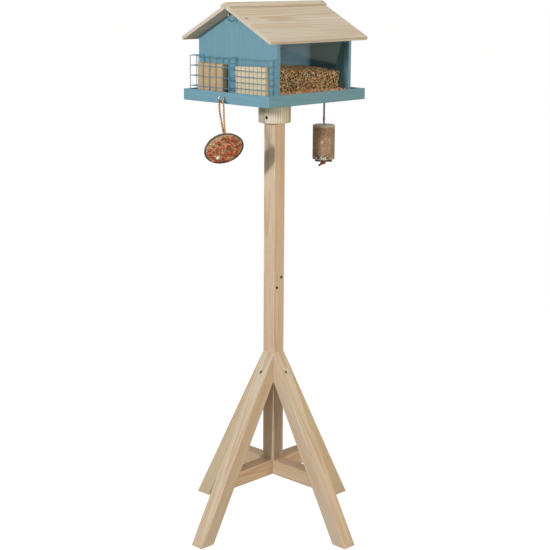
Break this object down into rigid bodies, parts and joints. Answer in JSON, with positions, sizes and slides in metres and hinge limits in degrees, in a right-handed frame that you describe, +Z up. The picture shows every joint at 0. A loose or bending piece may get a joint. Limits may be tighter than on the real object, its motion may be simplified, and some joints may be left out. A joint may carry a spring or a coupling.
{
  "type": "bird feeder on a post",
  "caption": "Wooden seed house with a hinged roof panel, clear panes, tray, suet cages and hanging treats, on a square post with splayed legs.",
  "frame": {"origin": "on the ground, under the middle of the post, which is the middle of the bottom of the bounding box", "axes": "+Z up along the post; +X along the roof ridge, away from the gable wall that carries the suet cages; the seed openings face -Y and +Y"},
  "size_m": [0.581, 0.581, 1.427],
  "materials": {
    "post_wood": "planed softwood, clear oiled",
    "collar_wood": "turned softwood, satin",
    "stained_wood": "softwood with a pale blue water-based stain, matt",
    "roof_wood": "planed pine, clear oiled",
    "clear_acrylic": "clear, gloss",
    "seed_mix": "loose seed, matt",
    "coated_wire": "blue plastic-coated wire, satin",
    "plated_steel": "zinc plated",
    "dark_screw": "black phosphate",
    "hinge_brass": "brass plated, satin",
    "tan_suet": "fat and grain, matt",
    "pale_suet": "fat and grain, matt",
    "grey_suet": "fat and seed, matt",
    "coconut_husk": "fibrous shell, matt",
    "jute_twine": "twisted jute",
    "bark_twig": "bark"
  },
  "bodies": {
    "stand": {"cross_beam_x": "post_wood", "cross_beam_y": "post_wood", "centre_screw": "dark_screw", "lower_post": "post_wood", "upper_post": "post_wood", "joint_screws": "dark_screw", "leg_left": "post_wood", "leg_right": "post_wood", "leg_front": "post_wood", "leg_back": "post_wood", "leg_screws": "dark_screw", "leg_dowels": "post_wood", "collar": "collar_wood", "collar_screws": "dark_screw", "tray_floor": "stained_wood", "tray_screws": "dark_screw", "rim_left": "stained_wood", "rim_right": "stained_wood", "rim_front": "stained_wood", "rim_back": "stained_wood", "gable_left": "stained_wood", "gable_right": "stained_wood", "divider": "stained_wood", "house_screws": "dark_screw", "pane_front": "clear_acrylic", "pane_back": "clear_acrylic", "seed_front": "seed_mix", "seed_back": "seed_mix", "roof_back": "roof_wood", "roof_screws": "dark_screw", "hinge_leaves_back": "hinge_brass", "hinge_pins": "plated_steel", "leaf_screws_back": "hinge_brass", "gable_hook": "plated_steel", "hook_left": "plated_steel", "hook_right": "plated_steel", "cage_coarse_front": "coated_wire", "cage_coarse_ends": "coated_wire", "cage_coarse_tabs": "coated_wire", "cage_fine_front": "coated_wire", "cage_fine_ends": "coated_wire", "cage_fine_tabs": "coated_wire", "cage_staples": "plated_steel"},
    "lid": {"roof_front": "roof_wood", "ridge_cap": "roof_wood", "hinge_leaves_cap": "hinge_brass", "leaf_screws_cap": "hinge_brass"},
    "block_coarse": {"suet_coarse": "tan_suet"},
    "block_fine": {"suet_fine": "pale_suet"},
    "coconut": {"coconut_shell": "coconut_husk", "coconut_fat": "tan_suet", "coconut_twine": "jute_twine"},
    "log": {"fat_log": "grey_suet", "log_twine": "jute_twine", "log_twig": "bark_twig", "log_knot": "jute_twine"}
  },
  "joints": [
    {"name": "roof_lid", "type": "hinge", "parent": "stand", "child": "lid", "pos_m": [0, 0.01959, 1.4145], "axis": [-1, 0, 0], "range_deg": [0, 120]},
    {"name": "block_coarse_lift", "type": "slide", "parent": "stand", "child": "block_coarse", "axis": [0, 0, 1], "range_m": [0, 0.065]},
    {"name": "block_fine_lift", "type": "slide", "parent": "stand", "child": "block_fine", "axis": [0, 0, 1], "range_m": [0, 0.065]},
    {"name": "coconut_swing", "type": "hinge", "parent": "stand", "child": "coconut", "pos_m": [-0.1935, 0, 1.18], "axis": [1, 0, 0], "range_deg": [-45, 45]},
    {"name": "log_swing", "type": "hinge", "parent": "stand", "child": "log", "pos_m": [0.1935, 0, 1.18], "axis": [1, 0, 0], "range_deg": [-45, 45]}
  ]
}
